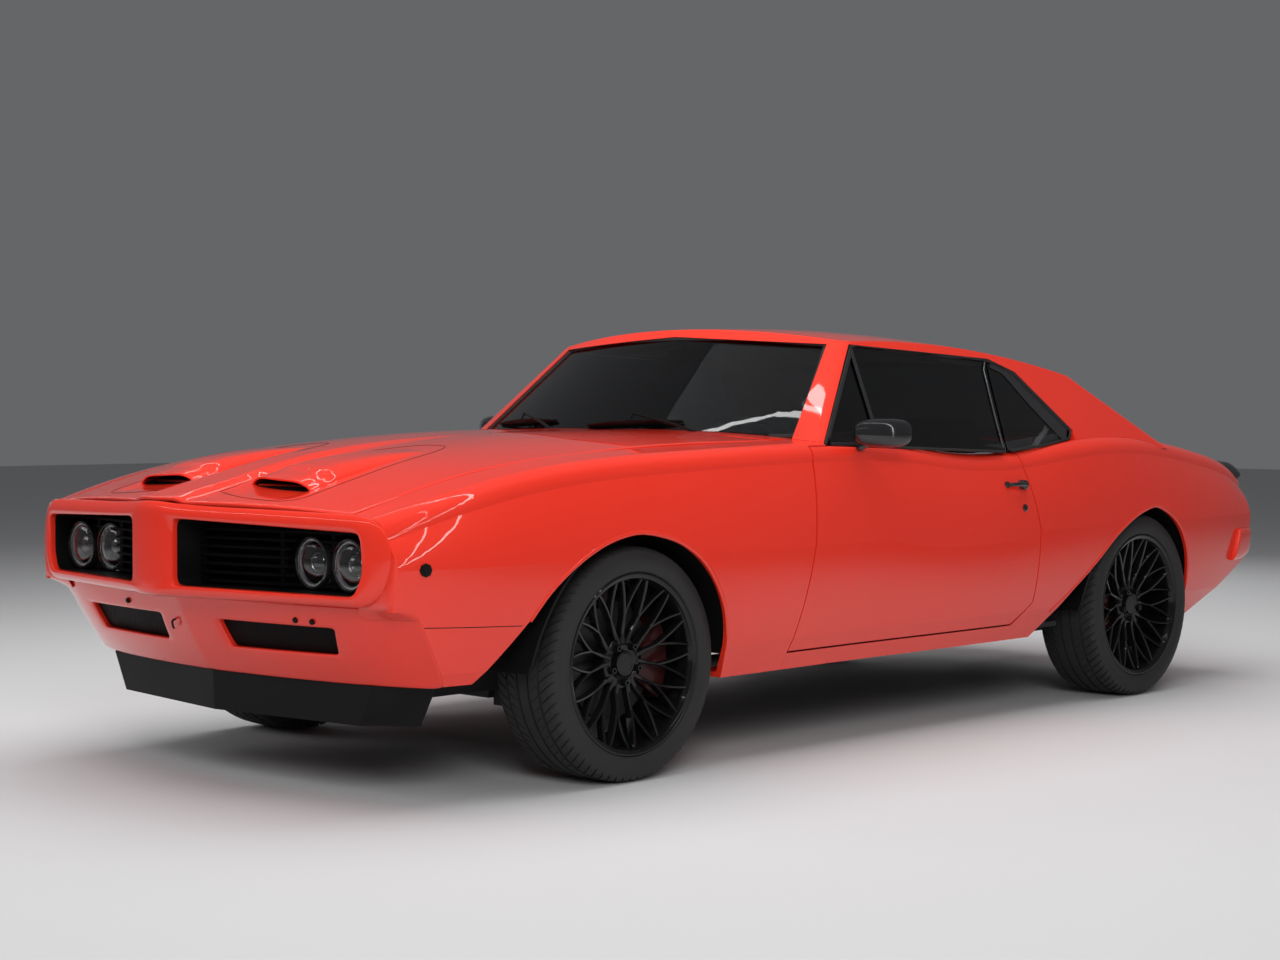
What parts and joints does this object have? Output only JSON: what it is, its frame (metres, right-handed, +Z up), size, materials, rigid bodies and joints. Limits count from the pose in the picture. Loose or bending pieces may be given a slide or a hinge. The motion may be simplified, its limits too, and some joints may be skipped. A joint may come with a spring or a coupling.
{
  "type": "muscle car",
  "caption": "Two-door hardtop muscle car with opening doors, hood and trunk, steered front wheels and free-rolling wheels on low-profile tyres.",
  "frame": {"origin": "on the floor below the middle of the car's box", "axes": "+X to the car's left, +Y to its rear, +Z up"},
  "size_m": [1.994, 4.83, 1.3649],
  "materials": {
    "paint": "high gloss red clear coat",
    "black_trim": "satin black",
    "gloss_black": "gloss black",
    "glass": "dark tinted",
    "lamp_glass": "clear lens",
    "tail_lens": "red lens",
    "cabin": "grained black",
    "upholstery": "black leather",
    "underbody": "satin black coating",
    "cast_metal": "cast",
    "bare_steel": "turned",
    "caliper_paint": "gloss red",
    "wheel_finish": "gloss black",
    "tyre": "rubber"
  },
  "bodies": {
    "body": {"air_dam": "black_trim", "calipers_rear": "caliper_paint", "cowl": "paint", "dashboard": "cabin", "driveline": "cast_metal", "engine_block": "cast_metal", "exhaust": "bare_steel", "fender_left": "paint", "fender_right": "paint", "floor_pan": "underbody", "front_bumper": "paint", "front_seats": "upholstery", "front_subframe": "underbody", "front_valance": "paint", "fuel_tank": "underbody", "grille": "black_trim", "headlamps": "lamp_glass", "leaf_springs": "underbody", "quarter_glass": "glass", "quarter_left": "paint", "quarter_right": "paint", "rear_axle": "underbody", "rear_bumper": "paint", "rear_deck": "paint", "rear_seat": "upholstery", "rear_valance": "paint", "rear_window": "glass", "rockers": "paint", "roof": "paint", "tail_lamps": "tail_lens", "tail_panel": "paint", "wheel_liners": "black_trim", "windshield": "glass"},
    "door_left": {"door_left": "paint", "door_glass_left": "glass", "door_fittings_left": "gloss_black"},
    "door_right": {"door_right": "paint", "door_glass_right": "glass", "door_fittings_right": "gloss_black"},
    "hood": {"hood": "paint"},
    "trunk": {"trunk_lid": "paint", "spoiler": "black_trim"},
    "steering_wheel": {"steering_wheel": "cabin"},
    "knuckle_left": {"knuckle_left": "cast_metal", "caliper_front_left": "caliper_paint"},
    "knuckle_right": {"knuckle_right": "cast_metal", "caliper_front_right": "caliper_paint"},
    "wheel_front_left": {"wheel_front_left": "wheel_finish", "tyre_front_left": "tyre", "disc_front_left": "bare_steel"},
    "wheel_front_right": {"wheel_front_right": "wheel_finish", "tyre_front_right": "tyre", "disc_front_right": "bare_steel"},
    "wheel_rear_left": {"wheel_rear_left": "wheel_finish", "tyre_rear_left": "tyre", "disc_rear_left": "bare_steel"},
    "wheel_rear_right": {"wheel_rear_right": "wheel_finish", "tyre_rear_right": "tyre", "disc_rear_right": "bare_steel"}
  },
  "joints": [
    {"name": "door_left_hinge", "type": "hinge", "parent": "body", "child": "door_left", "pos_m": [0.916, -0.565, 0.62], "axis": [0, 0, -1], "range_deg": [0, 65]},
    {"name": "door_right_hinge", "type": "hinge", "parent": "body", "child": "door_right", "pos_m": [-0.916, -0.565, 0.62], "axis": [0, 0, 1], "range_deg": [0, 65]},
    {"name": "hood_hinge", "type": "hinge", "parent": "body", "child": "hood", "pos_m": [0, -0.54, 0.97061], "axis": [-1, 0, 0], "range_deg": [0, 55]},
    {"name": "trunk_hinge", "type": "hinge", "parent": "body", "child": "trunk", "pos_m": [0, 1.841, 0.93743], "axis": [1, 0, 0], "range_deg": [0, 60]},
    {"name": "steer_left", "type": "hinge", "parent": "body", "child": "knuckle_left", "pos_m": [0.705, -1.335, 0.343], "axis": [0, 0, 1], "range_deg": [-32, 32]},
    {"name": "steer_right", "type": "hinge", "parent": "body", "child": "knuckle_right", "pos_m": [-0.705, -1.335, 0.343], "axis": [0, 0, 1], "range_deg": [-32, 32]},
    {"name": "steering_wheel_turn", "type": "hinge", "parent": "body", "child": "steering_wheel", "pos_m": [0.38, -0.19, 0.85], "axis": [0, 0.9063, 0.4226], "range_deg": [-400, 400]},
    {"name": "wheel_front_left_spin", "type": "hinge", "parent": "knuckle_left", "child": "wheel_front_left", "pos_m": [0.752, -1.335, 0.343], "axis": [1, 0, 0], "continuous": true},
    {"name": "wheel_front_right_spin", "type": "hinge", "parent": "knuckle_right", "child": "wheel_front_right", "pos_m": [-0.752, -1.335, 0.343], "axis": [1, 0, 0], "continuous": true},
    {"name": "wheel_rear_left_spin", "type": "hinge", "parent": "body", "child": "wheel_rear_left", "pos_m": [0.769, 1.411, 0.343], "axis": [1, 0, 0], "continuous": true},
    {"name": "wheel_rear_right_spin", "type": "hinge", "parent": "body", "child": "wheel_rear_right", "pos_m": [-0.769, 1.411, 0.343], "axis": [1, 0, 0], "continuous": true}
  ],
  "couplings": [
    {"joint": "steer_right", "follows": "steer_left", "ratio": 1},
    {"joint": "steering_wheel_turn", "follows": "steer_left", "ratio": 12}
  ]
}
